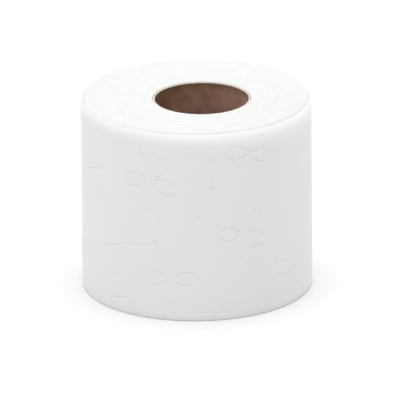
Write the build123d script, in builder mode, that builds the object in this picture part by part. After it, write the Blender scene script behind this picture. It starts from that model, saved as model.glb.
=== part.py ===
from build123d import *
from math import atan2, cos, degrees, hypot, pi, sin, sqrt
import os

# Toilet paper roll standing on its end. Millimetres, +Z up.
# The origin is on the core's axis, in the plane that the roll stands on.

# Whole roll
roll_height = 95.0
roll_diameter = 111.5

# Board tube, wound from a strip of board whose edges meet in a helical seam
bore_diameter = 45.0
core_wall = 1.2
board_strip_width = 70.0
seam_width = 0.6
seam_depth = 0.35
seam_top_angle = 15.0

# The paper's own centre, measured from the core's axis: the core sits off-centre in the soft roll
paper_centre_x = -2.9
paper_centre_y = 3.4

# Strip of tissue, and the worn edges of its outer turns
sheet_thickness = 0.4
top_edge_cut = 1.8
base_edge_cut = 1.0

# Turns as both ends show them: bands of turns that stand level, and bands between them that
# stand a little back. The bands that stand back are one shallow recess, which follows the strip.
recess_half_turns = 11
recess_share = 0.42
recess_depth = 0.35
recess_slope_width = 0.45
recess_run_out = 0.3
level_at_core = 2.2
level_at_edge = 1.8

# Worked out from the sizes above
bore_radius = bore_diameter / 2
core_radius = bore_radius + core_wall
paper_radius = roll_diameter / 2
paper_shift = hypot(paper_centre_x, paper_centre_y)
tail_angle = atan2(paper_centre_y, paper_centre_x)
up = Vector(0, 0, 1)


def on_tail_line(distance, height=0.0):
    """Point on the line from the core's axis through the paper's centre, where the strip's tail ends."""
    return Vector(distance * cos(tail_angle), distance * sin(tail_angle), height)


# Board tube, with the seam of its inner ply open to the bore
bore_girth = pi * bore_diameter
seam_pitch = board_strip_width * bore_girth / sqrt(bore_girth**2 - board_strip_width**2)
seam_run_out = 4 * seam_width
seam_base_angle = seam_top_angle - 360 * (roll_height + seam_run_out) / seam_pitch

with BuildPart() as cardboard_core:
    with BuildSketch(Plane.XY):
        Circle(core_radius)
        Circle(bore_radius, mode=Mode.SUBTRACT)
    extrude(amount=roll_height)
    with BuildLine(Plane.XY.rotated((0, 0, seam_base_angle))) as seam_line:
        Helix(seam_pitch, roll_height + 2 * seam_run_out, bore_radius, center=(0, 0, -seam_run_out))
    seam_start = seam_line.line @ 0
    seam_outward = Vector(seam_start.X, seam_start.Y, 0)
    with BuildSketch(Plane(seam_start, x_dir=seam_outward, z_dir=seam_line.line % 0)):
        with BuildLine():
            Polyline((-seam_depth, -seam_width), (seam_depth, 0), (-seam_depth, seam_width), close=True)
        make_face()
    sweep(path=seam_line.line, is_frenet=True, mode=Mode.SUBTRACT)
cardboard_core.part.label = "cardboard_core"

# Wound strip of tissue
recess_turns = recess_half_turns / 2
recess_width = recess_share * (paper_radius - core_radius - level_at_core - level_at_edge) / recess_turns
recess_start = core_radius + level_at_core + recess_width / 2


def recess_crossings(edge_cut):
    """Places on the tail line, measured from the core's axis, that the recess crosses in turn."""
    reach = paper_radius - sheet_thickness - edge_cut - level_at_edge - recess_width / 2
    crossings = []
    for crossing in range(recess_half_turns + 1):
        side = -1 if crossing % 2 else 1
        way_out = crossing / recess_half_turns
        crossings.append(side * (recess_start + way_out * (reach + side * paper_shift - recess_start)))
    return crossings


with BuildPart() as paper_winding:
    # The outer turn is two half turns about axes of their own. Its radius falls by one sheet on
    # the way round from the tail, which leaves the tail's straight edge as a step.
    for side, fall in ((-1, sheet_thickness / 4), (1, 3 * sheet_thickness / 4)):
        turn_axis = on_tail_line(paper_shift + sheet_thickness / 2 - fall)
        outward = on_tail_line(side)
        with BuildSketch(Plane(turn_axis, x_dir=outward, z_dir=outward.cross(up))) as turn_section:
            Rectangle(paper_radius - fall, roll_height, align=(Align.MIN, Align.MIN))
            chamfer(turn_section.vertices().group_by(Axis.X)[-1].sort_by(Axis.Y)[0], base_edge_cut)
            chamfer(turn_section.vertices().group_by(Axis.X)[-1].sort_by(Axis.Y)[-1], top_edge_cut)
        revolve(axis=Axis(turn_axis, up), revolution_arc=180)

    with BuildSketch(Plane.XY):
        Circle(core_radius)
    extrude(amount=roll_height, mode=Mode.SUBTRACT)

    # Each half turn of the recess is an arc about the middle of the two places that it joins
    for end_height, inward, edge_cut in ((roll_height, -1, top_edge_cut), (0.0, 1, base_edge_cut)):
        crossings = recess_crossings(edge_cut)
        with BuildLine() as strip_line:
            for half_turn, (start, end) in enumerate(zip(crossings, crossings[1:])):
                arc_centre = on_tail_line((start + end) / 2, end_height)
                start_angle = degrees(tail_angle) + 180 * half_turn
                CenterArc(arc_centre, abs(start - end) / 2, start_angle, 180)
        floor_half = recess_width / 2 - recess_slope_width
        mouth_half = recess_width / 2 + recess_slope_width * recess_run_out / recess_depth
        with BuildSketch(Plane(strip_line.line @ 0, x_dir=on_tail_line(-1), z_dir=strip_line.line % 0)):
            with BuildLine():
                Polyline(
                    (-mouth_half, -recess_run_out * inward),
                    (-floor_half, recess_depth * inward),
                    (floor_half, recess_depth * inward),
                    (mouth_half, -recess_run_out * inward),
                    close=True,
                )
            make_face()
        sweep(path=strip_line.line, mode=Mode.SUBTRACT)
paper_winding.part.label = "paper_winding"

os.makedirs("parts", exist_ok=True)
export_step(cardboard_core.part, "parts/cardboard_core.step")
export_step(paper_winding.part, "parts/paper_winding.step")
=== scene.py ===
"""Toilet paper roll: the looks of its wound tissue and its board tube, and the stage that it stands on.

The roll's height, its core and its outline come from the frame. Lengths are in metres, angles in radians.
The strip is measured in turns out from the core, and along its outer turn in metres back from its loose end.
"""

from math import atan2, ceil, cos, pi, radians, sin, sqrt, tau

import bpy
from mathutils import Matrix, Vector


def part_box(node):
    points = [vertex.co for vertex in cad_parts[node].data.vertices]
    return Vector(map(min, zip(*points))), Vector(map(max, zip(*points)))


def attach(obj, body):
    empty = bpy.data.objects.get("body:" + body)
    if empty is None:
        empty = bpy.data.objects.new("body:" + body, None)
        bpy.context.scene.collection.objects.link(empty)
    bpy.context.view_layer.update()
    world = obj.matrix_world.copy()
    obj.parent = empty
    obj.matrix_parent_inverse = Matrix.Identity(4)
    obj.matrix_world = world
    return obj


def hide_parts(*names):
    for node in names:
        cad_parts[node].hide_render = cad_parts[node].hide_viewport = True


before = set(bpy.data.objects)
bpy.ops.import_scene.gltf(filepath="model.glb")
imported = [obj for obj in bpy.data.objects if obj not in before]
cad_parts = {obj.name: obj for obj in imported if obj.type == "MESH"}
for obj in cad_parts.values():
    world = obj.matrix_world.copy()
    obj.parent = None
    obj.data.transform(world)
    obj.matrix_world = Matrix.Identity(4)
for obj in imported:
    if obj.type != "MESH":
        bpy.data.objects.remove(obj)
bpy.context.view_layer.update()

bl_info = {
    "name": "Toilet Paper Roll",
    "version": (1, 0, 0),
    "blender": (4, 5, 0),
    "location": "3D View > Sidebar > Paper Roll",
    "description": "Builds an embossed toilet paper roll on its board tube",
    "category": "Object",
}

MM = 0.001

# Edges sharper than this angle stay sharp, and points closer than this distance are one
SHARP_ANGLE = radians(55)
DOUBLES_DISTANCE = 1e-6

# Names that the frame gives to the roll's one body and to its two solids
BODY = "root"
CORE_NODE = "cardboard_core"
PAPER_NODE = "paper_winding"

# Sizes that the frame settles. The outline is a spiral that gains one sheet in its outer turn, so its
# box is a quarter of a sheet off the paper's own centre each way, and half a sheet less than its diameter.
core_low, core_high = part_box(CORE_NODE)
paper_low, paper_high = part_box(PAPER_NODE)
ROLL_HEIGHT = paper_high.z
CORE_RADIUS = (core_high.x - core_low.x) / 2
SHEET_GAIN = 0.4 * MM
PAPER_CENTRE = (paper_low + paper_high) / 2 - Vector((SHEET_GAIN / 4, SHEET_GAIN / 4, 0))
PAPER_RADIUS = (paper_high.x - paper_low.x + paper_high.y - paper_low.y) / 4 + SHEET_GAIN / 2
TAIL_ANGLE = atan2(PAPER_CENTRE.y, PAPER_CENTRE.x)
FRONT_ANGLE = -pi / 2

# Wound strip
TURNS = round((PAPER_RADIUS - CORE_RADIUS) / SHEET_GAIN)
TURN_PITCH = (PAPER_RADIUS - CORE_RADIUS) / TURNS
OUTER_TURN = tau * (PAPER_RADIUS - TURN_PITCH / 2)
TAIL_TO_FRONT = PAPER_RADIUS * (TAIL_ANGLE - FRONT_ANGLE)

# Rims: how far the outer turns' edges drop and lean in, and how far down the outer sheet leans with them
TOP_DROP = 1.1 * MM
BASE_DROP = 0.3 * MM
DROP_REACH = 1.8 * MM
TOP_LEAN = 1.4 * MM
BASE_LEAN = 0.4 * MM
LEAN_TURNS_REACH = 8 * MM
TOP_LEAN_HEIGHT = 7 * MM
BASE_LEAN_HEIGHT = 3 * MM

# Bands of turns that stand a little back on both ends, along a wider spiral, as the frame's solid has them
BAND_FIRST_RADIUS = 26.97 * MM
BAND_SPACING = 4.31 * MM
BAND_TURNS = 5.5
BAND_END_TURNS = 0.1
BAND_DEPTH = 0.3 * MM
BAND_FLOOR_HALF = 0.35 * MM
BAND_MOUTH_HALF = 1.5 * MM

# Edges of the turns on the ends. How often the gaps and crests change around the roll and from turn to turn,
# and the least gap and how much wider it gets, as shares of the gap's depth
GAP_CHANGES_AROUND = 1.6
GAP_CHANGES_A_TURN = 0.9
LEAST_GAP = 0.25
WIDER_GAP = 1.5
CREST_CHANGES_AROUND = 2.2
CREST_CHANGES_A_TURN = 1.7

# Inner edge of the first turn: how far it runs down beside the board tube, and the turns and the share of
# the sheet's thickness that tell its points from the next ones
INNER_EDGE_DROP = 0.8 * MM
INNER_EDGE_TURNS = 0.001
INNER_EDGE_SHARE = 0.1

# Loose end of the strip: its torn teeth, and how far the last sheet runs on under it
TOOTH_HEIGHT = 2.3 * MM
TOOTH_DEPTH = 0.45 * MM
TOOTH_REACH = 2.5 * MM
TAIL_LAP = 2 * MM

# Perforations: the slits and the bonds between them, measured up the sheet
SLIT_SPACING = 4.2 * MM
BOND_SHARE = 0.22
SLIT_HALF_WIDTH = 0.5 * MM

# Slack of the wound sheets, which aren't quite taut
SLACK = 0.16 * MM
SLACK_PATCHES_PER_METRE = 45.0

# Embossing of one sheet, flat: millimetres along the strip from the middle of the roll's front, and up.
# Each flower is its centre, its petals' length and half width, and the way that each petal points
# with how hard it is pressed in. Worn petals are faint. Each stem is its press and its points.
FLOWERS = (
    ((23.6, 43.2), 13.0, 3.3, ((183, 1.0), (100, 0.35), (41, 0.95), (-32, 0.9), (-97, 0.65))),
    ((26.9, 83.1), 10.8, 3.2, ((174, 1.0), (96, 0.8), (36, 0.6), (-18, 1.0), (-88, 0.3))),
    ((-21.6, 70.7), 13.6, 3.5, ((189, 0.75), (121, 0.4), (52, 0.8), (-26, 0.9), (-99, 0.3))),
    ((-12.0, 20.6), 11.8, 3.4, ((182, 0.75), (118, 0.3), (60, 0.3), (5, 0.75), (-88, 0.3))),
    ((54.0, 18.6), 12.4, 3.4, ((165, 0.6), (96, 0.5), (24, 0.6), (-48, 0.5), (-120, 0.5))),
)
STEMS = (
    (0.8, ((-65.7, 19.0), (-62.6, 22.4), (-58.8, 25.4), (-51.6, 30.6))),
    (1.0, ((-51.6, 30.6), (-41.5, 34.1), (-34.1, 35.8), (-26.8, 36.4), (-21.5, 37.8), (-18.4, 39.6))),
    (0.9, ((-66.3, 65.5), (-60.8, 67.3), (-51.4, 69.8))),
    (0.9, ((-44.0, 6.6), (-40.0, 7.2), (-35.7, 8.5))),
    (0.8, ((-44.5, 16.9), (-42.0, 17.6), (-39.2, 18.2))),
    (0.6, ((1.5, 4.3), (9.7, 4.0), (17.6, 3.6))),
    (0.7, ((40.7, 24.3), (43.4, 24.9))),
)
DOTS = (
    (-27.0, 83.7), (-49.5, 52.8), (-60.3, 42.2), (-43.9, 45.9), (-23.1, 55.6), (2.3, 52.9), (8.9, 81.1),
    (8.7, 70.8), (8.7, 66.8), (68.7, 50.9), (21.8, 12.6), (23.5, 7.5),
)
DOT_HALF = 0.8
DOT_PRESS = 0.9
EYE_RADIUS = 1.1
EYE_PRESS = 0.5

# One side of a petal, as shares of its length and half width
PETAL_OUTLINE = ((0.17, 0.28), (0.42, 0.86), (0.74, 0.96), (0.95, 0.55), (1.0, 0.0))

# How far off the sheet a stroke passes that leaves no mark, the points between two that are given, their
# spacing on the sheet, and where the embossing fades out below the top rim and above the base rim
FAINT_LIFT = 0.5 * MM
STROKE_STEPS = 8
STROKE_SPACING = 0.4 * MM
NO_STROKES = 0.4 * MM
FULL_STROKES_BELOW_TOP = 3.5 * MM
FULL_STROKES_ABOVE_BASE = 2.5 * MM

# The pull along the wound strip flattens the strokes that run up the roll: the share of its press that an
# upright stroke keeps, and the power by which that share grows to 1 as a stroke lies more level
UPRIGHT_PRESS = 0.25
LEVEL_POWER = 5

# Board tube: its top, which stands a little back, its rounded cut edges and their two rough waves, its faces,
# and the shares of the wall that its cut edge's rows and of the seam's half width that its columns stand at
TUBE_TOP = ROLL_HEIGHT - 0.35 * MM
TUBE_ROUNDING = 0.12 * MM
TUBE_ROUGHNESS = 0.05 * MM
ROUGH_WAVES_AROUND = (37, 11)
ROUGH_WAVES_ACROSS = 9
BORE_ROWS = 96
OUTSIDE_ROWS = 48
PLAIN_COLUMNS = 210
EDGE_ROWS = (0.12, 0.3, 0.5, 0.7, 0.88)
SEAM_COLUMNS = (-2.4, -1.6, -1.15, -1, -0.5, 0, 0.5, 1, 1.15, 1.6, 2.4)

# Seam: how round its groove is, and how fast it fades across the cut edge. The board raises a lip beside
# it: its height, its crest and its reach, in half widths of the seam
GROOVE_POWER = 0.8
GROOVE_FADE = 3
LIP_HEIGHT = 0.06 * MM
LIP_CREST = 1.15
LIP_REACH = 1.25

# Grain of each material: fibres a metre, the fibres' stretch and clouds a metre. Below it, the grain's height
TISSUE_FACE_GRAIN = (2600.0, 0.25, 90.0)
TISSUE_FACE_RELIEF = 0.035 * MM
TISSUE_EDGE_GRAIN = (3200.0, 1.0, 140.0)
TISSUE_EDGE_RELIEF = 0.05 * MM
BOARD_FACE_GRAIN = (1500.0, 0.35, 130.0)
BOARD_FACE_RELIEF = 0.06 * MM
BOARD_EDGE_GRAIN = (3500.0, 1.0, 300.0)
BOARD_EDGE_RELIEF = 0.08 * MM
FELT_COARSENESS = 0.35
FELT_SHARE = 0.4
SHEEN_ROUGHNESS = 0.4

# Clouds: the noise at which they start to show and at which they are full, and the share of the colour there
TISSUE_FACE_CLOUDS = (0.35, 0.75, 0.985)
TISSUE_EDGE_CLOUDS = (0.35, 0.7, 0.975)
BOARD_EDGE_CLOUDS = (0.35, 0.7, 0.93)

# Painted light: the outer sheet's colour is made paler near the top rim, most at the right, for light that
# enters the cut edges and falls on the rim
RIM_LIGHT_REACH = 10 * MM
RIM_LIGHT_POWER = 1.5
RIM_LIGHT_GAIN = 0.13
RIM_LIGHT_SKEW = 0.35

# Tones of the board, as shares of its red, green and blue, the noise at which its stains and fibres start to
# show and at which they are full, and how strong its darker places are: stains, painted shade at the left,
# the top edge
WARM_TONE = (0.86, 0.8, 0.6)
PALE_TONE = (1.75, 1.9, 2.15)
OLIVE_TONE = (0.4, 0.48, 0.36)
FIBRE_TONE = 0.45
GLUE_TONE = 2.2
STAINS_PER_METRE = 70.0
STAIN_NOISE = (0.5, 0.7)
FIBRE_NOISE = (0.58, 0.7)
STAIN_STRENGTH = 0.35
PAINTED_SHADE_STRENGTH = 0.7
DARK_EDGE_STRENGTH = 0.65
FIBRE_STRENGTH = 0.35
GLUE_STRENGTH = 0.35
OUTSIDE_STRENGTH = 0.6

# Where the board's inside turns pale: painted light across the tube, paler at the right where light falls,
# and paler down the tube. How strong its clouds are, and where it is darker: painted shade at the left, and
# below the top edge
PAINTED_LIGHT_ACROSS = 38 * MM
PAINTED_LIGHT_SHIFT = 0.33
PALE_DOWN = (1 * MM, 14 * MM)
PALE_DOWN_STRENGTH = 0.45
CLOUD_STRENGTH = 1.8
PAINTED_SHADE_LEFT = (13 * MM, 21 * MM)
DARK_BELOW_EDGE = (5 * MM, 0.2 * MM)

# Lines on the board's cut edge: how far they waver, the glue's half width and its darkest part's, and the
# shares of the wall where the glue lies and where the brown line at the outside starts and is full
LINE_WAVER = 0.1 * MM
GLUE_LINE = (0.1 * MM, 0.02 * MM)
GLUE_PLACE = 0.5
OUTSIDE_START = 0.64
OUTSIDE_FULL = 0.8

# Stage: half the floor's width, and where the lights stand and how wide they are
FLOOR_HALF = 2.0
OVERHEAD_PLACE = (0.03, 0.22, 2.7)
OVERHEAD_WIDTH = 2.2
LEFT_PLACE = (-1.3, -0.75, 0.4)
RIGHT_PLACE = (1.3, -0.75, 0.4)
SIDE_WIDTH = 0.8


class StripSettings(bpy.types.PropertyGroup):
    """Wound strip of tissue"""

    sheet_length: bpy.props.FloatProperty(
        name="Sheet length", description="Length of one sheet, between two perforations",
        default=138 * MM, unit="LENGTH",
    )
    stroke_width: bpy.props.FloatProperty(
        name="Stroke width", description="Width of an embossed stroke",
        default=1.1 * MM, unit="LENGTH",
    )
    stroke_depth: bpy.props.FloatProperty(
        name="Stroke depth", description="Depth of an embossed stroke",
        default=0.46 * MM, unit="LENGTH",
    )
    slit_depth: bpy.props.FloatProperty(
        name="Slit depth", description="Depth of the slits between two sheets",
        default=0.1 * MM, unit="LENGTH",
    )
    column_width: bpy.props.FloatProperty(
        name="Column width", description="Width of the outer sheets' faces",
        default=0.45 * MM, unit="LENGTH",
    )
    row_height: bpy.props.FloatProperty(
        name="Row height", description="Height of the outer sheets' faces",
        default=0.305 * MM, unit="LENGTH",
    )
    turn_steps: bpy.props.IntProperty(
        name="Steps per turn", description="Faces along each turn of the top end", default=180
    )
    gap_depth: bpy.props.FloatProperty(
        name="Gap depth", description="Depth of the gaps between turns on the ends",
        default=0.15 * MM, unit="LENGTH",
    )
    unevenness: bpy.props.FloatProperty(
        name="Unevenness", description="How far the turns' edges stand above and below each other",
        default=0.14 * MM, unit="LENGTH",
    )
    colour: bpy.props.FloatVectorProperty(
        name="Tissue colour", description="Colour of the tissue",
        subtype="COLOR", min=0, max=1, default=(0.892, 0.887, 0.884),
    )
    # Painted shade: the cut edges' colour is set below the face's, so that the more strongly lit top end
    # stays under white
    edge_colour: bpy.props.FloatVectorProperty(
        name="Cut edge colour", description="Colour of the tissue's cut edges on the ends",
        subtype="COLOR", min=0, max=1, default=(0.845, 0.843, 0.84),
    )


class TubeSettings(bpy.types.PropertyGroup):
    """Board tube"""

    wall: bpy.props.FloatProperty(
        name="Wall", description="Thickness of the board", default=1.2 * MM, unit="LENGTH"
    )
    strip_width: bpy.props.FloatProperty(
        name="Board strip", description="Width of the strip of board that the tube is wound from",
        default=70 * MM, unit="LENGTH",
    )
    seam_half_width: bpy.props.FloatProperty(
        name="Seam half width", description="Half the width of the seam's mouth",
        default=0.6 * MM, unit="LENGTH",
    )
    seam_depth: bpy.props.FloatProperty(
        name="Seam depth", description="Depth of the seam between two edges of the inner ply",
        default=0.35 * MM, unit="LENGTH",
    )
    seam_top_angle: bpy.props.FloatProperty(
        name="Seam angle", description="Where the seam meets the tube's top edge",
        default=radians(15), unit="ROTATION",
    )
    board_colour: bpy.props.FloatVectorProperty(
        name="Board colour", description="Colour of the brown plies",
        subtype="COLOR", min=0, max=1, default=(0.27, 0.15, 0.1),
    )
    edge_colour: bpy.props.FloatVectorProperty(
        name="Cut edge colour", description="Colour of the tube's pale cut edge",
        subtype="COLOR", min=0, max=1, default=(0.84, 0.76, 0.69),
    )


class StageSettings(bpy.types.PropertyGroup):
    """Camera, lights and floor"""

    camera_elevation: bpy.props.FloatProperty(
        name="Camera elevation", description="Angle of the camera above the floor",
        default=radians(20), unit="ROTATION",
    )
    camera_roll: bpy.props.FloatProperty(
        name="Camera roll", description="Turn of the camera about its own view",
        default=radians(-0.5), unit="ROTATION",
    )
    camera_distance: bpy.props.FloatProperty(
        name="Camera distance", description="Distance from the camera to the roll",
        default=5.0, unit="LENGTH",
    )
    view_width: bpy.props.FloatProperty(
        name="View width", description="Width of the picture at the roll",
        default=192.5 * MM, unit="LENGTH",
    )
    view_centre: bpy.props.FloatVectorProperty(
        name="View centre", description="Point in the middle of the picture",
        default=(-1.25 * MM, 0, 42.8 * MM), subtype="XYZ", unit="LENGTH",
    )
    overhead_power: bpy.props.FloatProperty(
        name="Overhead light", description="Power of the light above the roll",
        default=30.4, unit="POWER",
    )
    left_power: bpy.props.FloatProperty(
        name="Left light", description="Power of the light at the left", default=3.3, unit="POWER"
    )
    right_power: bpy.props.FloatProperty(
        name="Right light", description="Power of the light at the right",
        default=2.05, unit="POWER",
    )
    room_level: bpy.props.FloatProperty(
        name="Room light", description="Level of the light that comes from all sides", default=0.75
    )
    floor_glow: bpy.props.FloatProperty(
        name="Floor glow", description="How much whiter the floor looks than it is", default=0.055
    )
    floor_colour: bpy.props.FloatVectorProperty(
        name="Floor colour", description="Colour of the floor",
        subtype="COLOR", min=0, max=1, default=(0.9, 0.9, 0.9),
    )
    bounce_colour: bpy.props.FloatVectorProperty(
        name="Bounce colour", description="Colour of the floor for the light that it throws back",
        subtype="COLOR", min=0, max=1, default=(0.6, 0.6, 0.6),
    )


class RollSettings(bpy.types.PropertyGroup):
    """All settings of the roll"""

    strip: bpy.props.PointerProperty(type=StripSettings, name="Strip", description="Wound strip of tissue")
    tube: bpy.props.PointerProperty(type=TubeSettings, name="Tube", description="Board tube")
    stage: bpy.props.PointerProperty(type=StageSettings, name="Stage", description="Camera, lights and floor")


class Field:
    """A value that a node tree works out. Sums, products and other steps on it become Math nodes."""

    def __init__(self, tree, socket):
        self.tree = tree
        self.socket = socket

    def calc(self, operation, *others):
        """The result of a Math node on this value and the others."""
        return calc(self.tree, operation, self, *others)

    def __add__(self, other):
        return self.calc("ADD", other)

    def __sub__(self, other):
        return self.calc("SUBTRACT", other)

    def __rsub__(self, other):
        return calc(self.tree, "SUBTRACT", other, self)

    def __mul__(self, other):
        return self.calc("MULTIPLY", other)

    def __truediv__(self, other):
        return self.calc("DIVIDE", other)

    def __pow__(self, other):
        return self.calc("POWER", other)

    __radd__ = __add__
    __rmul__ = __mul__

    def clamped(self):
        """This value, held between 0 and 1."""
        node = add_node(self.tree, "ShaderNodeClamp", {"Value": self})
        return Field(self.tree, node.outputs[0])

    def eased(self, start, end):
        """Rises smoothly from 0 where this value is at start to 1 where it is at end."""
        inputs = {"Value": self, "From Min": start, "From Max": end}
        node = add_node(self.tree, "ShaderNodeMapRange", inputs, interpolation_type="SMOOTHSTEP")
        return Field(self.tree, node.outputs[0])

    def fading(self, reach):
        """Falls straight from 1 where this value is 0 to 0 at reach and beyond."""
        return (1 - self / reach).calc("MAXIMUM", 0)


def feed(tree, socket, value):
    """Sets an input socket to a value, or links a field or another socket to it."""
    if isinstance(value, Field):
        value = value.socket
    if isinstance(value, bpy.types.NodeSocket):
        tree.links.new(value, socket)
    else:
        socket.default_value = value


def add_node(tree, kind, inputs=None, **settings):
    """Adds a node, makes its settings and feeds its inputs by name."""
    node = tree.nodes.new(kind)
    for name, value in settings.items():
        setattr(node, name, value)
    for name, value in (inputs or {}).items():
        feed(tree, node.inputs[name], value)
    return node


def calc(tree, operation, *values):
    """Adds a Math node and returns its result."""
    node = tree.nodes.new("ShaderNodeMath")
    node.operation = operation
    for socket, value in zip(node.inputs, values):
        feed(tree, socket, value)
    return Field(tree, node.outputs[0])


def combine(tree, x, y, z):
    """The vector of three values."""
    return add_node(tree, "ShaderNodeCombineXYZ", {"X": x, "Y": y, "Z": z}).outputs[0]


def separate(tree, vector):
    """The three values of a vector."""
    node = add_node(tree, "ShaderNodeSeparateXYZ", {"Vector": vector})
    return [Field(tree, socket) for socket in node.outputs]


def noise(tree, vector, scale, detail=2.0, roughness=0.5):
    """Noise from 0 to 1, mostly near a half."""
    inputs = {"Vector": vector, "Scale": scale, "Detail": detail, "Roughness": roughness}
    return Field(tree, add_node(tree, "ShaderNodeTexNoise", inputs).outputs[0])


def mix_colour(tree, share, first, second):
    """The first colour where share is 0 and the second where it is 1. The Mix node's sockets go by number,
    because those for numbers, vectors and colours have the same names."""
    node = add_node(tree, "ShaderNodeMix", data_type="RGBA")
    for number, value in ((0, share), (6, first), (7, second)):
        feed(tree, node.inputs[number], value)
    return node.outputs[2]


def toned(colour, *shares):
    """A lighter or darker colour: by one share, or by one each for red, green and blue."""
    if len(shares) == 1:
        shares = shares * 3
    return (*(channel * share for channel, share in zip(colour, shares)), 1)


def new_group(name, kind, inputs, outputs):
    """A node group with named inputs and outputs. Returns it, its inputs as fields and its output node."""
    tree = bpy.data.node_groups.new(name, kind)
    for label, socket_type, default in inputs:
        socket = tree.interface.new_socket(name=label, in_out="INPUT", socket_type="NodeSocket" + socket_type)
        if default is not None:
            socket.default_value = default
    for label, socket_type in outputs:
        tree.interface.new_socket(name=label, in_out="OUTPUT", socket_type="NodeSocket" + socket_type)
    given = {socket.name: Field(tree, socket) for socket in tree.nodes.new("NodeGroupInput").outputs}
    return tree, given, tree.nodes.new("NodeGroupOutput")


def arrange(tree):
    """Lays a tree's nodes out from left to right, each after the nodes that it reads."""
    column_width, row_height = 220, 180
    depth = dict.fromkeys(tree.nodes, 0)
    for _ in tree.nodes:
        moved = False
        for link in tree.links:
            if depth[link.to_node] <= depth[link.from_node]:
                depth[link.to_node] = depth[link.from_node] + 1
                moved = True
        if not moved:
            break
    filled = {}
    for node, column in depth.items():
        row = filled.get(column, 0)
        filled[column] = row + 1
        node.location = (column * column_width, -row * row_height)


def add_object(name, data):
    """Puts a new object with its mesh, curve, light or camera into the scene."""
    new_object = bpy.data.objects.new(name, data)
    bpy.context.scene.collection.objects.link(new_object)
    return new_object


def grown_mesh(name, tree, values, material):
    """The plain mesh that a Geometry Nodes tree makes from an empty one, with its modifier's inputs set."""
    holder = add_object(name, bpy.data.meshes.new(name))
    modifier = holder.modifiers.new(tree.name, "NODES")
    modifier.node_group = tree
    sockets = {item.name: item.identifier for item in tree.interface.items_tree if item.in_out == "INPUT"}
    modifier[sockets["Material"]] = material
    for label, value in values.items():
        modifier[sockets[label]] = value
    graph = bpy.context.evaluated_depsgraph_get()
    mesh = bpy.data.meshes.new_from_object(holder.evaluated_get(graph))
    holder.modifiers.clear()
    bpy.data.objects.remove(holder)
    mesh.materials.clear()
    mesh.materials.append(material)
    return mesh


def finish_piece(name, mesh, node):
    """Makes a finished mesh a piece that rides on the roll and stands for a CAD node."""
    mesh.name = name
    mesh.shade_smooth()
    mesh.set_sharp_from_angle(angle=SHARP_ANGLE)
    piece = add_object(name, mesh)
    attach(piece, BODY)
    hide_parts(node)


def place_on_roll_group():
    """Where a point of the wound strip lies: the turns grow out from the core, about a centre that
    moves from the core's axis to the paper's own centre."""
    name = "Place on Roll"
    if name in bpy.data.node_groups:
        return bpy.data.node_groups[name]
    inputs = (
        ("Turn", "Float", 0.0),
        ("Turns Out", "Float", 0.0),
        ("Inset", "Float", 0.0),
        ("Height", "Float", 0.0),
        ("Turns", "Float", float(TURNS)),
        ("Core Radius", "Float", CORE_RADIUS),
        ("Paper Radius", "Float", PAPER_RADIUS),
        ("Paper Centre X", "Float", PAPER_CENTRE.x),
        ("Paper Centre Y", "Float", PAPER_CENTRE.y),
        ("Tail Angle", "Float", TAIL_ANGLE),
    )
    tree, given, end = new_group(name, "GeometryNodeTree", inputs, (("Position", "Vector"),))
    share = given["Turns Out"] / given["Turns"]
    angle = given["Turn"] * tau + given["Tail Angle"]
    radius = given["Core Radius"] + (given["Paper Radius"] - given["Core Radius"]) * share - given["Inset"]
    x = given["Paper Centre X"] * share + angle.calc("COSINE") * radius
    y = given["Paper Centre Y"] * share + angle.calc("SINE") * radius
    feed(tree, end.inputs["Position"], combine(tree, x, y, given["Height"]))
    arrange(tree)
    return tree


def put_on_roll(tree, grid, turn, turns_out, inset, height):
    """Moves a flat grid's points to their places on the wound strip."""
    inputs = {"Turn": turn, "Turns Out": turns_out, "Inset": inset, "Height": height}
    group = add_node(tree, "GeometryNodeGroup", inputs, node_tree=place_on_roll_group())
    moved = {"Geometry": grid, "Position": group.outputs["Position"]}
    return add_node(tree, "GeometryNodeSetPosition", moved).outputs[0]


def flat_grid(tree, width, columns, rows):
    """A flat grid of height 1, and how far its points lie from its left and its lower edge."""
    inputs = {"Size X": width, "Size Y": 1.0, "Vertices X": columns, "Vertices Y": rows}
    grid = add_node(tree, "GeometryNodeMeshGrid", inputs).outputs[0]
    along, across, _ = separate(tree, tree.nodes.new("GeometryNodeInputPosition").outputs[0])
    return grid, along + width / 2, across + 0.5


def merge_doubles(tree, geometry):
    """Closes the seams and folds of a grid."""
    inputs = {"Geometry": geometry, "Distance": DOUBLES_DISTANCE}
    return add_node(tree, "GeometryNodeMergeByDistance", inputs).outputs[0]


def fall_off(depth, most, reach):
    """Most at the outline, and nothing at reach and further in. Depth is the distance in from the outline."""
    return most * depth.fading(reach) ** 2


def finish_tree(tree, end, geometry, material):
    """Ends a tree that makes a piece: its instances are made real, and it gets its material."""
    real = add_node(tree, "GeometryNodeRealizeInstances", {"Geometry": geometry}).outputs[0]
    covered = add_node(tree, "GeometryNodeSetMaterial", {"Geometry": real, "Material": material}).outputs[0]
    feed(tree, end.inputs["Geometry"], covered)
    arrange(tree)


def band_set_back(given, turns_out, way_round):
    """How far the bands of turns stand back, along their own wider spiral."""
    band = (CORE_RADIUS + turns_out * TURN_PITCH - BAND_FIRST_RADIUS) / BAND_SPACING - way_round
    band_turn = band.calc("ROUND")
    off_band = (band - band_turn).calc("ABSOLUTE") * BAND_SPACING
    place = band_turn + way_round
    ends = place.eased(0, BAND_END_TURNS) * place.eased(BAND_TURNS, BAND_TURNS - BAND_END_TURNS)
    return given["Band Depth"] * off_band.eased(BAND_MOUTH_HALF, BAND_FLOOR_HALF) * ends


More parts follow.
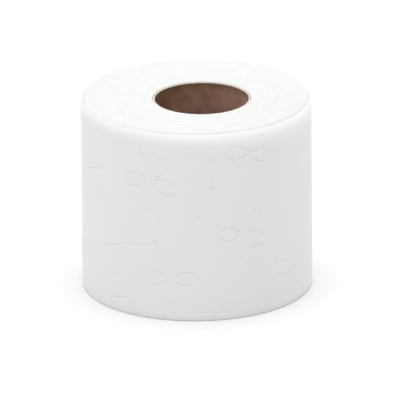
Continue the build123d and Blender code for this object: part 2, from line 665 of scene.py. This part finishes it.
def turn_edges(tree, given, turn, turns_out, share):
    """The cut edges of the turns. Each is round, with a gap on both sides, and stands a little higher
    or lower. Share is the way through the sheet's thickness. Points that are held to the core lie as one."""
    angle = turn * tau
    round_x = angle.calc("COSINE")
    round_y = angle.calc("SINE")
    held = (turn + share).calc("LESS_THAN", INNER_EDGE_TURNS)
    off_middle = (share * 2 - 1).calc("ABSOLUTE").calc("MAXIMUM", held)

    around = GAP_CHANGES_AROUND
    gap_place = combine(tree, round_x * around, round_y * around, turns_out * GAP_CHANGES_A_TURN)
    gap = given["Gap Depth"] * (LEAST_GAP + WIDER_GAP * noise(tree, gap_place, 1.0)) * off_middle ** 3

    around = CREST_CHANGES_AROUND
    crest_place = combine(tree, round_x * around, round_y * around, turn * CREST_CHANGES_A_TURN)
    crest = given["Unevenness"] * noise(tree, crest_place, 1.0, detail=3.0) * (1 - off_middle ** 2)
    return gap, crest


def wound_end_tree():
    """One end of the roll: the edges of all its turns, as one strip that winds out from the core."""
    inputs = (
        ("Turns", "Int", TURNS),
        ("Steps per Turn", "Int", 180),
        ("Points per Sheet", "Int", 5),
        ("End Height", "Float", ROLL_HEIGHT),
        ("Upwards", "Float", 1.0),
        ("Rim Drop", "Float", TOP_DROP),
        ("Rim Lean", "Float", TOP_LEAN),
        ("Gap Depth", "Float", 0.15 * MM),
        ("Unevenness", "Float", 0.14 * MM),
        ("Band Depth", "Float", BAND_DEPTH),
        ("Material", "Material", None),
    )
    tree, given, end = new_group("Wound End", "GeometryNodeTree", inputs, (("Geometry", "Geometry"),))
    columns = given["Turns"] * given["Steps per Turn"] + 1
    grid, along, share = flat_grid(tree, given["Turns"], columns, given["Points per Sheet"])

    # The grid starts one turn before the strip does, and is held to the core's radius there
    turn = along - 1
    turns_out = (turn + share).calc("MAXIMUM", 0)
    depth = (given["Turns"] - turns_out) * TURN_PITCH

    drop = fall_off(depth, given["Rim Drop"], DROP_REACH)
    set_back = band_set_back(given, turns_out, turn.calc("FRACT"))
    gap, crest = turn_edges(tree, given, turn, turns_out, share)
    inner_edge = turn.calc("LESS_THAN", INNER_EDGE_TURNS) * share.calc("LESS_THAN", INNER_EDGE_SHARE)
    lowered = drop + set_back + gap + crest + inner_edge * INNER_EDGE_DROP
    height = given["End Height"] - given["Upwards"] * lowered
    lean = fall_off(depth, given["Rim Lean"], LEAN_TURNS_REACH)
    merged = merge_doubles(tree, put_on_roll(tree, grid, turn, turns_out, lean, height))

    # The grid's faces look down once it is wound, so the top end's are turned over
    turned = add_node(tree, "GeometryNodeFlipFaces", {"Mesh": merged}).outputs[0]
    choice = {"Switch": given["Upwards"].calc("GREATER_THAN", 0), "False": merged, "True": turned}
    chosen = add_node(tree, "GeometryNodeSwitch", choice, input_type="GEOMETRY").outputs[0]
    finish_tree(tree, end, chosen, given["Material"])
    return tree


def add_stroke(curve, press, points, closed=False):
    """Adds a stroke to the flat embossing. Where it is pressed in less it passes off the sheet."""
    before_first, after_last = (points[-1], points[0]) if closed else (points[0], points[-1])
    run = (before_first, *points, after_last)
    spline = curve.splines.new("BEZIER")
    spline.bezier_points.add(len(points) - 1)
    for bezier_point, before, (along, up), after in zip(spline.bezier_points, run, points, run[2:]):
        way = Vector(after) - Vector(before)
        level = abs(way.x) / way.length
        kept = UPRIGHT_PRESS + (1 - UPRIGHT_PRESS) * level ** LEVEL_POWER
        bezier_point.co = (along * MM, up * MM, (1 - press * kept) * FAINT_LIFT)
        bezier_point.handle_left_type = "AUTO"
        bezier_point.handle_right_type = "AUTO"
    spline.use_cyclic_u = closed
    spline.resolution_u = STROKE_STEPS


def add_flower(curve, centre, length, half_width, petals):
    """Adds a flower: its round eye, and its petals, which are open at the eye."""
    along, up = centre
    quarters = (0, pi / 2, pi, 3 * pi / 2)
    eye = [(along + EYE_RADIUS * cos(angle), up + EYE_RADIUS * sin(angle)) for angle in quarters]
    add_stroke(curve, EYE_PRESS, eye, True)
    left_side = [(length * out, half_width * wide) for out, wide in PETAL_OUTLINE]
    right_side = [(out, -wide) for out, wide in reversed(left_side[:-1])]
    for direction, press in petals:
        turned = Matrix.Rotation(radians(direction), 2)
        petal = [turned @ Vector(point) + Vector(centre) for point in left_side + right_side]
        add_stroke(curve, press, petal)


def emboss_strokes():
    """The embossed strokes of one sheet, flat, as a curve object."""
    curve = bpy.data.curves.new("emboss_strokes", "CURVE")
    curve.dimensions = "3D"
    for flower in FLOWERS:
        add_flower(curve, *flower)
    for press, points in STEMS:
        add_stroke(curve, press, points)
    for along, up in DOTS:
        add_stroke(curve, DOT_PRESS, ((along - DOT_HALF, up), (along + DOT_HALF, up)))
    return add_object("emboss_strokes", curve)


def rim_lean(depth, from_top, from_base):
    """How far the sheet leans in near both rims."""
    near_top = from_top.fading(TOP_LEAN_HEIGHT) ** 3
    near_base = from_base.fading(BASE_LEAN_HEIGHT) ** 2
    top_lean = near_top * fall_off(depth, TOP_LEAN, LEAN_TURNS_REACH)
    return top_lean + near_base * fall_off(depth, BASE_LEAN, LEAN_TURNS_REACH)


def torn_line(given, straight, height):
    """The distance back from the loose end, with that end's straight line torn to teeth."""
    tooth = (height / TOOTH_HEIGHT).calc("PINGPONG", 1) * given["Torn Edge"] * TOOTH_DEPTH
    return straight + tooth * straight.fading(TOOTH_REACH)


def pressed_strokes(tree, given, flat_place, from_top, from_base):
    """How deep the embossed strokes press the sheet in, by the distance to the nearest one, laid flat."""
    strokes = add_node(tree, "GeometryNodeObjectInfo", {"Object": given["Strokes"]}).outputs["Geometry"]
    spacing = {"Curve": strokes, "Length": STROKE_SPACING}
    spaced = add_node(tree, "GeometryNodeResampleCurve", spacing, mode="LENGTH").outputs[0]
    lines = add_node(tree, "GeometryNodeCurveToMesh", {"Curve": spaced}).outputs[0]

    # The pattern repeats once a sheet, two sheets on both sides of the front
    first = combine(tree, given["Sheet Length"] * -2, 0.0, 0.0)
    step = combine(tree, given["Sheet Length"], 0.0, 0.0)
    places = {"Count": 5, "Start Location": first, "Offset": step}
    row = add_node(tree, "GeometryNodeMeshLine", places).outputs[0]
    repeats = add_node(tree, "GeometryNodeInstanceOnPoints", {"Points": row, "Instance": lines}).outputs[0]
    pattern = add_node(tree, "GeometryNodeRealizeInstances", {"Geometry": repeats}).outputs[0]

    nearest = add_node(tree, "GeometryNodeProximity", {"Sample Position": flat_place}, target_element="EDGES")
    feed(tree, nearest.inputs[0], pattern)
    to_stroke = Field(tree, nearest.outputs["Distance"])
    below_top = from_top.eased(NO_STROKES, FULL_STROKES_BELOW_TOP)
    off_rims = below_top * from_base.eased(NO_STROKES, FULL_STROKES_ABOVE_BASE)
    return given["Stroke Depth"] * to_stroke.eased(given["Stroke Width"] / 2, 0) * off_rims


def sheet_slits(given, straight, height):
    """Slits between two sheets, with a bond left standing every few millimetres. A torn edge has none."""
    to_start = straight - given["Start"] + given["Torn Edge"]
    to_end = (given["End"] - straight).calc("MINIMUM", to_start)
    between_bonds = (height / SLIT_SPACING).calc("FRACT").calc("GREATER_THAN", BOND_SHARE)
    return given["Perforation Depth"] * to_end.eased(SLIT_HALF_WIDTH, 0) * between_bonds


def store_strip_map(tree, geometry, flat_place):
    """Keeps each point's place on the flat strip as the piece's own UV map, for its material."""
    kind = "GeometryNodeStoreNamedAttribute"
    inputs = {"Geometry": geometry, "Name": "strip", "Value": flat_place}
    return add_node(tree, kind, inputs, data_type="FLOAT2", domain="CORNER").outputs[0]


def embossed_sheet_tree():
    """One sheet of the outer turn, pressed in along the strokes, with a perforation at each end."""
    inputs = (
        ("Strokes", "Object", None),
        ("Start", "Float", 0.0),
        ("End", "Float", 138 * MM),
        ("Columns", "Int", 308),
        ("Rows", "Int", 312),
        ("Sheet Length", "Float", 138 * MM),
        ("Stroke Width", "Float", 1.1 * MM),
        ("Stroke Depth", "Float", 0.46 * MM),
        ("Perforation Depth", "Float", 0.1 * MM),
        ("Torn Edge", "Float", 0.0),
        ("Material", "Material", None),
    )
    tree, given, end = new_group("Embossed Sheet", "GeometryNodeTree", inputs, (("Geometry", "Geometry"),))
    grid, along, share_up = flat_grid(tree, 1.0, given["Columns"], given["Rows"])

    # The last column is the loose end's own thickness. It folds flat where the end isn't loose
    last = given["Columns"] - 1
    way = (along * last / (last - 1)).calc("MINIMUM", 1)
    thickness = (along * last).calc("GREATER_THAN", last - 0.5) * given["Torn Edge"] * TURN_PITCH
    straight = given["End"] - (given["End"] - given["Start"]) * way
    turns_out = TURNS - straight / OUTER_TURN
    depth = (straight / OUTER_TURN) * TURN_PITCH

    base = fall_off(depth, BASE_DROP, DROP_REACH)
    top = ROLL_HEIGHT - fall_off(depth, TOP_DROP, DROP_REACH)
    height = base + (top - base) * share_up
    from_top = top - height
    from_base = height - base

    back = torn_line(given, straight, height)
    flat_place = combine(tree, TAIL_TO_FRONT - back, height, 0.0)
    lean = rim_lean(depth, from_top, from_base)
    stroke = pressed_strokes(tree, given, flat_place, from_top, from_base)
    slits = sheet_slits(given, straight, height)
    slack = (noise(tree, flat_place, SLACK_PATCHES_PER_METRE, detail=1.0) - 0.5) * SLACK
    inset = lean + stroke + slits + slack + thickness

    turn = turns_out - (back - straight) / OUTER_TURN
    placed = put_on_roll(tree, grid, turn, turns_out, inset, height)
    merged = merge_doubles(tree, store_strip_map(tree, placed, flat_place))
    finish_tree(tree, end, merged, given["Material"])
    return tree


def paper_grain_group():
    """Fine grain of paper or board: its height, and cloudy patches."""
    name = "Paper Grain"
    if name in bpy.data.node_groups:
        return bpy.data.node_groups[name]
    inputs = (
        ("Vector", "Vector", None),
        ("Fibres per Metre", "Float", 1800.0),
        ("Stretch", "Float", 0.3),
        ("Clouds per Metre", "Float", 120.0),
    )
    outputs = (("Height", "Float"), ("Clouds", "Float"))
    tree, given, end = new_group(name, "ShaderNodeTree", inputs, outputs)
    x, y, z = separate(tree, given["Vector"])
    stretched = combine(tree, x, y * given["Stretch"], z * given["Stretch"])
    fine = noise(tree, stretched, given["Fibres per Metre"], detail=3.0, roughness=0.6)
    felt = noise(tree, given["Vector"], given["Fibres per Metre"] * FELT_COARSENESS, roughness=0.6)
    feed(tree, end.inputs["Height"], fine * (1 - FELT_SHARE) + felt * FELT_SHARE)
    clouds = noise(tree, given["Vector"], given["Clouds per Metre"], detail=3.0, roughness=0.55)
    feed(tree, end.inputs["Clouds"], clouds)
    arrange(tree)
    return tree


def grain(tree, vector, fibres, stretch, clouds):
    """Adds the grain group and returns its height and its clouds."""
    inputs = {"Vector": vector, "Fibres per Metre": fibres, "Stretch": stretch, "Clouds per Metre": clouds}
    node = add_node(tree, "ShaderNodeGroup", inputs, node_tree=paper_grain_group())
    return [Field(tree, socket) for socket in node.outputs]


def new_material(name, roughness, specular, sheen=0.0):
    """A material with a plain shader. Returns it, its tree and the shader."""
    material = bpy.data.materials.new(name)
    material.use_nodes = True
    tree = material.node_tree
    shader = tree.nodes["Principled BSDF"]
    shader.inputs["Roughness"].default_value = roughness
    shader.inputs["Specular IOR Level"].default_value = specular
    shader.inputs["Sheen Weight"].default_value = sheen
    shader.inputs["Sheen Roughness"].default_value = SHEEN_ROUGHNESS
    return material, tree, shader


def finish_material(tree, shader, colour, relief):
    """Drives the shader's colour, and its normal by a relief in metres."""
    feed(tree, shader.inputs["Base Color"], colour)
    bump = add_node(tree, "ShaderNodeBump", {"Height": relief, "Distance": 1.0, "Strength": 1.0})
    feed(tree, shader.inputs["Normal"], bump.outputs[0])
    arrange(tree)


def own_place(tree):
    """Each point's place on the piece, in metres."""
    return tree.nodes.new("ShaderNodeTexCoord").outputs["Object"]


def clouded(tree, colour, clouds, start, full, share):
    """A colour that is a little darker in its clouds."""
    return mix_colour(tree, clouds.eased(start, full), toned(colour, 1), toned(colour, share))


def painted_rim_light(tree):
    """Painted light near the top rim: how much paler the outer sheet's colour is made there, more, and
    further down, the further right it lies.
    """
    x, _, z = separate(tree, own_place(tree))
    reach = RIM_LIGHT_REACH * (1 + RIM_LIGHT_SKEW * x / PAPER_RADIUS)
    near_rim = (ROLL_HEIGHT - TOP_DROP - z).fading(reach) ** RIM_LIGHT_POWER
    return (near_rim * (1 + 2 * RIM_LIGHT_SKEW * x / PAPER_RADIUS)).clamped()


def tissue_face_material(colour):
    """Outer face of the tissue: soft grain and creping, with painted light that makes it paler near the top
    rim.
    """
    material, tree, shader = new_material("tissue_face", roughness=0.95, specular=0.15, sheen=1.0)
    strip = add_node(tree, "ShaderNodeUVMap", uv_map="strip").outputs[0]
    height, clouds = grain(tree, strip, *TISSUE_FACE_GRAIN)
    tint = clouded(tree, colour, clouds, *TISSUE_FACE_CLOUDS)
    with_rim_light = mix_colour(tree, painted_rim_light(tree), tint, toned(colour, 1 + RIM_LIGHT_GAIN))
    finish_material(tree, shader, with_rim_light, height * TISSUE_FACE_RELIEF)
    return material


def tissue_edge_material(colour):
    """Cut edges of the turns on both ends: fuzzy, in soft patches a little lighter or darker, in a colour set
    below the face's as painted shade for the strongly lit top.
    """
    material, tree, shader = new_material("tissue_edge", roughness=0.95, specular=0.15, sheen=0.12)
    height, clouds = grain(tree, own_place(tree), *TISSUE_EDGE_GRAIN)
    tint = clouded(tree, colour, clouds, *TISSUE_EDGE_CLOUDS)
    finish_material(tree, shader, tint, height * TISSUE_EDGE_RELIEF)
    return material


def board_mottle_and_light(tree, spot, clouds, colour):
    """Mottled board with painted light and shade: warm and pale patches, painted paler at the right where
    light falls and paler further down, and olive in stains, below the top edge and in painted shade at the
    left.
    """
    x, _, z = separate(tree, spot)
    down = TUBE_TOP - z
    # Painted light: the board is made paler towards the right, where light falls on the inside
    painted_light_and_depth = (x / PAINTED_LIGHT_ACROSS + PAINTED_LIGHT_SHIFT) + down.eased(*PALE_DOWN) * PALE_DOWN_STRENGTH
    mottle_and_light_share = ((clouds - 0.5) * CLOUD_STRENGTH + painted_light_and_depth).clamped()
    patches = mix_colour(tree, mottle_and_light_share, toned(colour, *WARM_TONE), toned(colour, *PALE_TONE))
    stains = noise(tree, spot, STAINS_PER_METRE).eased(*STAIN_NOISE) * STAIN_STRENGTH
    # Painted shade: the board is made darker at the left, where less light falls on the inside
    painted_left_shade = (x * -1).eased(*PAINTED_SHADE_LEFT) * PAINTED_SHADE_STRENGTH
    dark_edge = down.eased(*DARK_BELOW_EDGE) * DARK_EDGE_STRENGTH
    dark = stains.calc("MAXIMUM", painted_left_shade).calc("MAXIMUM", dark_edge)
    return mix_colour(tree, dark, patches, toned(colour, *OLIVE_TONE))


def board_face_material(colour):
    """Brown faces of the tube: mottled recycled board with darker fibres, and painted light at the right and
    painted shade at the left.
    """
    material, tree, shader = new_material("board_face", roughness=0.75, specular=0.3)
    spot = own_place(tree)
    height, clouds = grain(tree, spot, *BOARD_FACE_GRAIN)
    patches = board_mottle_and_light(tree, spot, clouds, colour)
    fibre_share = height.eased(*FIBRE_NOISE) * FIBRE_STRENGTH
    fibres = mix_colour(tree, fibre_share, patches, toned(colour, FIBRE_TONE))
    finish_material(tree, shader, fibres, height * BOARD_FACE_RELIEF)
    return material


def board_edge_material(tube, bore_radius):
    """Cut edge of the tube: pale, with the glue line between its plies and a brown line at the outside."""
    material, tree, shader = new_material("board_cut_edge", roughness=0.85, specular=0.2)
    spot = own_place(tree)
    x, y, _ = separate(tree, spot)
    height, clouds = grain(tree, spot, *BOARD_EDGE_GRAIN)
    pale = clouded(tree, tube.edge_colour, clouds, *BOARD_EDGE_CLOUDS)

    # Both lines follow the wall, and waver with the clouds
    radius = (x * x + y * y).calc("SQRT") + (clouds - 0.5) * LINE_WAVER
    off_glue = (radius - (bore_radius + tube.wall * GLUE_PLACE)).calc("ABSOLUTE")
    glue = off_glue.eased(*GLUE_LINE) * GLUE_STRENGTH
    outside_start = bore_radius + tube.wall * OUTSIDE_START
    outside = radius.eased(outside_start, bore_radius + tube.wall * OUTSIDE_FULL) * OUTSIDE_STRENGTH
    plies = mix_colour(tree, glue, pale, toned(tube.board_colour, GLUE_TONE))
    lined = mix_colour(tree, outside, plies, toned(tube.board_colour, 1))
    finish_material(tree, shader, lined, height * BOARD_EDGE_RELIEF)
    return material


class ROLL_OT_wound_ends(bpy.types.Operator):
    """Makes both ends of the roll, where the edges of all its turns show"""

    bl_idname = "paper_roll.wound_ends"
    bl_label = "Wound Ends"

    def execute(self, context):
        strip = context.scene.paper_roll.strip
        material = tissue_edge_material(strip.edge_colour)
        tree = wound_end_tree()
        ends = (
            ("top_turns", ROLL_HEIGHT, 1.0, TOP_DROP, TOP_LEAN, strip.turn_steps, 5),
            ("base_turns", 0.0, -1.0, BASE_DROP, BASE_LEAN, strip.turn_steps * 2 // 3, 4),
        )
        for name, height, upwards, drop, lean, steps, points in ends:
            values = {
                "Steps per Turn": steps,
                "Points per Sheet": points,
                "End Height": height,
                "Upwards": upwards,
                "Rim Drop": drop,
                "Rim Lean": lean,
                "Gap Depth": strip.gap_depth,
                "Unevenness": strip.unevenness,
            }
            finish_piece(name, grown_mesh(name, tree, values, material), PAPER_NODE)
        return {"FINISHED"}


class ROLL_OT_outer_sheets(bpy.types.Operator):
    """Makes the embossed sheets of the roll's outer turn"""

    bl_idname = "paper_roll.outer_sheets"
    bl_label = "Outer Sheets"

    def execute(self, context):
        strip = context.scene.paper_roll.strip
        material = tissue_face_material(strip.colour)
        tree = embossed_sheet_tree()
        strokes = emboss_strokes()
        for number in range(ceil(OUTER_TURN / strip.sheet_length)):
            name = f"outer_sheet_{number + 1}"
            start = number * strip.sheet_length
            end = min(start + strip.sheet_length, OUTER_TURN + TAIL_LAP)
            values = {
                "Strokes": strokes,
                "Start": start,
                "End": end,
                "Columns": round((end - start) / strip.column_width) + 2,
                "Rows": round(ROLL_HEIGHT / strip.row_height) + 1,
                "Sheet Length": strip.sheet_length,
                "Stroke Width": strip.stroke_width,
                "Stroke Depth": strip.stroke_depth,
                "Perforation Depth": strip.slit_depth,
                "Torn Edge": 1.0 if number == 0 else 0.0,
            }
            finish_piece(name, grown_mesh(name, tree, values, material), PAPER_NODE)
        bpy.data.objects.remove(strokes)
        return {"FINISHED"}


def seam_columns(half_mouth):
    """Places of the tube's columns around it, as angles from the seam. They stand closer near it."""
    places = [half_mouth * share for share in SEAM_COLUMNS]
    last = places[-1]
    free = tau - 2 * last
    return places + [last + free * step / PLAIN_COLUMNS for step in range(1, PLAIN_COLUMNS)]


def seam_relief(depth, off_seam):
    """How far the bore's face lies outside the bore's radius, by half widths off the seam. The groove has
    a low lip on both sides."""
    if off_seam < 1:
        return depth * (1 - off_seam) ** GROOVE_POWER
    return -LIP_HEIGHT * max(0, 1 - abs(off_seam - LIP_CREST) / LIP_REACH)


def tube_section():
    """Section of the tube: up the bore, over the cut edge, down the outside and under the foot. Each row is
    its share of the wall, its height, and 1 on a cut edge or 0 on a face."""
    face_height = TUBE_TOP - 2 * TUBE_ROUNDING
    section = [(0.0, TUBE_ROUNDING + face_height * row / BORE_ROWS, 0) for row in range(BORE_ROWS + 1)]
    section += [(share, TUBE_TOP, 1) for share in EDGE_ROWS]
    for row in range(OUTSIDE_ROWS + 1):
        section.append((1.0, TUBE_TOP - TUBE_ROUNDING - face_height * row / OUTSIDE_ROWS, 0))
    section += [(share, 0.0, 1) for share in reversed(EDGE_ROWS)]
    return section


def tube_points(tube, bore_radius, section):
    """The tube's points, row by row. The columns follow the seam, which climbs at an angle that the board
    strip's width and the bore's girth settle."""
    girth = tau * bore_radius
    pitch = tube.strip_width * girth / sqrt(girth**2 - tube.strip_width**2)
    half_mouth = tube.seam_half_width / sin(atan2(pitch, girth)) / bore_radius
    places = seam_columns(half_mouth)
    fine, coarse = ROUGH_WAVES_AROUND
    points = []
    for share, height, on_edge in section:
        for place in places:
            angle = tube.seam_top_angle - tau * (ROLL_HEIGHT - height) / pitch + place
            off_seam = min(abs(place), tau - abs(place)) / half_mouth
            seam = seam_relief(tube.seam_depth, off_seam) * max(0, 1 - share * GROOVE_FADE)
            radius = bore_radius + tube.wall * share + seam
            waves = sin(fine * angle) * sin(coarse * angle + ROUGH_WAVES_ACROSS * share)
            rough = on_edge * TUBE_ROUGHNESS * (1 + waves)
            z = height - rough if height > ROLL_HEIGHT / 2 else height + rough
            points.append((radius * cos(angle), radius * sin(angle), z))
    return points, len(places)


def tube_faces(section, columns):
    """The tube's faces, each as its four points, and 1 for those on a cut edge."""
    faces = []
    on_edge = []
    for row in range(len(section)):
        following = (row + 1) % len(section)
        for column in range(columns):
            beside = (column + 1) % columns
            near = (row * columns + column, following * columns + column)
            far = (following * columns + beside, row * columns + beside)
            faces.append((*near, *far))
            on_edge.append(min(section[row][2], section[following][2]))
    return faces, on_edge


class ROLL_OT_board_tube(bpy.types.Operator):
    """Makes the board tube in the roll's middle, with its helical seam"""

    bl_idname = "paper_roll.board_tube"
    bl_label = "Board Tube"

    def execute(self, context):
        tube = context.scene.paper_roll.tube
        bore_radius = CORE_RADIUS - tube.wall
        section = tube_section()
        points, columns = tube_points(tube, bore_radius, section)
        faces, on_edge = tube_faces(section, columns)
        mesh = bpy.data.meshes.new("board_tube")
        mesh.from_pydata(points, [], faces)
        mesh.materials.append(board_face_material(tube.board_colour))
        mesh.materials.append(board_edge_material(tube, bore_radius))
        mesh.polygons.foreach_set("material_index", on_edge)
        mesh.update()
        finish_piece("board_tube", mesh, CORE_NODE)
        return {"FINISHED"}


def seen_directly(tree):
    """1 for what the camera sees, also in gloss or through glass, and 0 for what only lights the roll."""
    path = tree.nodes.new("ShaderNodeLightPath").outputs
    seen = Field(tree, path["Is Camera Ray"]).calc("MAXIMUM", path["Is Glossy Ray"])
    return seen.calc("MAXIMUM", path["Is Transmission Ray"])


def make_floor(stage):
    """A wide pale floor that keeps the roll's shadow."""
    material, tree, shader = new_material("floor", roughness=0.9, specular=0.0)
    seen = seen_directly(tree)
    colour = mix_colour(tree, seen, (*stage.bounce_colour, 1), (*stage.floor_colour, 1))
    feed(tree, shader.inputs["Base Color"], colour)
    shader.inputs["Emission Color"].default_value = (1, 1, 1, 1)
    feed(tree, shader.inputs["Emission Strength"], seen * stage.floor_glow)
    arrange(tree)

    mesh = bpy.data.meshes.new("floor")
    corners = [(x * FLOOR_HALF, y * FLOOR_HALF, 0) for x, y in ((-1, -1), (1, -1), (1, 1), (-1, 1))]
    mesh.from_pydata(corners, [], [(0, 1, 2, 3)])
    mesh.materials.append(material)
    floor = add_object("floor", mesh)


def make_room(scene, level):
    """A white room that lights the roll from all sides at a level, and looks plain white itself."""
    world = bpy.data.worlds.new("room")
    scene.world = world
    world.use_nodes = True
    tree = world.node_tree
    background = tree.nodes["Background"]
    background.inputs["Color"].default_value = (1, 1, 1, 1)
    feed(tree, background.inputs["Strength"], seen_directly(tree) * (1 - level) + level)
    arrange(tree)


def make_light(name, place, width, power):
    """A soft round light that is aimed at the middle of the roll."""
    light = bpy.data.lights.new(name, "AREA")
    light.shape = "DISK"
    light.size = width
    light.energy = power
    to_roll = Vector((0, 0, ROLL_HEIGHT / 2)) - Vector(place)
    light_object = add_object(name, light)
    light_object.location = place
    light_object.rotation_euler = to_roll.to_track_quat("-Z", "Y").to_euler()


def make_camera(scene, stage):
    """A camera that looks down at the roll's front from far off. Its sensor is in millimetres."""
    camera = bpy.data.cameras.new("camera")
    camera.sensor_width = 36
    camera.lens = camera.sensor_width * stage.camera_distance / stage.view_width
    camera.clip_start = 0.1
    camera.clip_end = 50
    elevation = stage.camera_elevation
    towards = Vector((0, -cos(elevation), sin(elevation)))
    turn = Matrix.Rotation(pi / 2 - elevation, 4, "X") @ Matrix.Rotation(stage.camera_roll, 4, "Z")
    place = Vector(stage.view_centre) + towards * stage.camera_distance
    camera_object = add_object("camera", camera)
    camera_object.matrix_world = Matrix.Translation(place) @ turn
    scene.camera = camera_object


class ROLL_OT_stage(bpy.types.Operator):
    """Makes the floor, the lights and the camera"""

    bl_idname = "paper_roll.stage"
    bl_label = "Stage"

    def execute(self, context):
        scene = context.scene
        stage = scene.paper_roll.stage
        scene.view_settings.view_transform = "Standard"
        make_floor(stage)
        make_room(scene, stage.room_level)
        make_light("overhead_light", OVERHEAD_PLACE, OVERHEAD_WIDTH, stage.overhead_power)
        make_light("left_light", LEFT_PLACE, SIDE_WIDTH, stage.left_power)
        make_light("right_light", RIGHT_PLACE, SIDE_WIDTH, stage.right_power)
        make_camera(scene, stage)
        return {"FINISHED"}


class ROLL_PT_panel(bpy.types.Panel):
    """Lists the roll's settings in the sidebar, with a button for each step that makes it"""

    bl_idname = "ROLL_PT_panel"
    bl_label = "Paper Roll"
    bl_space_type = "VIEW_3D"
    bl_region_type = "UI"
    bl_category = "Paper Roll"

    def draw(self, context):
        settings = context.scene.paper_roll
        for group in (settings.strip, settings.tube, settings.stage):
            box = self.layout.box()
            box.label(text=group.bl_rna.description)
            for name in group.bl_rna.properties.keys():
                if name not in ("rna_type", "name"):
                    box.prop(group, name)
        for operator in OPERATORS:
            self.layout.operator(operator.bl_idname)


OPERATORS = (ROLL_OT_stage, ROLL_OT_wound_ends, ROLL_OT_outer_sheets, ROLL_OT_board_tube)
CLASSES = (StripSettings, TubeSettings, StageSettings, RollSettings, *OPERATORS, ROLL_PT_panel)


def register():
    """Makes the settings, the operators and the panel known to Blender."""
    for cls in CLASSES:
        bpy.utils.register_class(cls)
    bpy.types.Scene.paper_roll = bpy.props.PointerProperty(type=RollSettings)


def unregister():
    """Takes them away again."""
    del bpy.types.Scene.paper_roll
    for cls in reversed(CLASSES):
        bpy.utils.unregister_class(cls)


def main():
    """Makes the stage and all pieces."""
    register()
    bpy.ops.paper_roll.stage()
    bpy.ops.paper_roll.wound_ends()
    bpy.ops.paper_roll.outer_sheets()
    bpy.ops.paper_roll.board_tube()


if __name__ == "__main__":
    main()
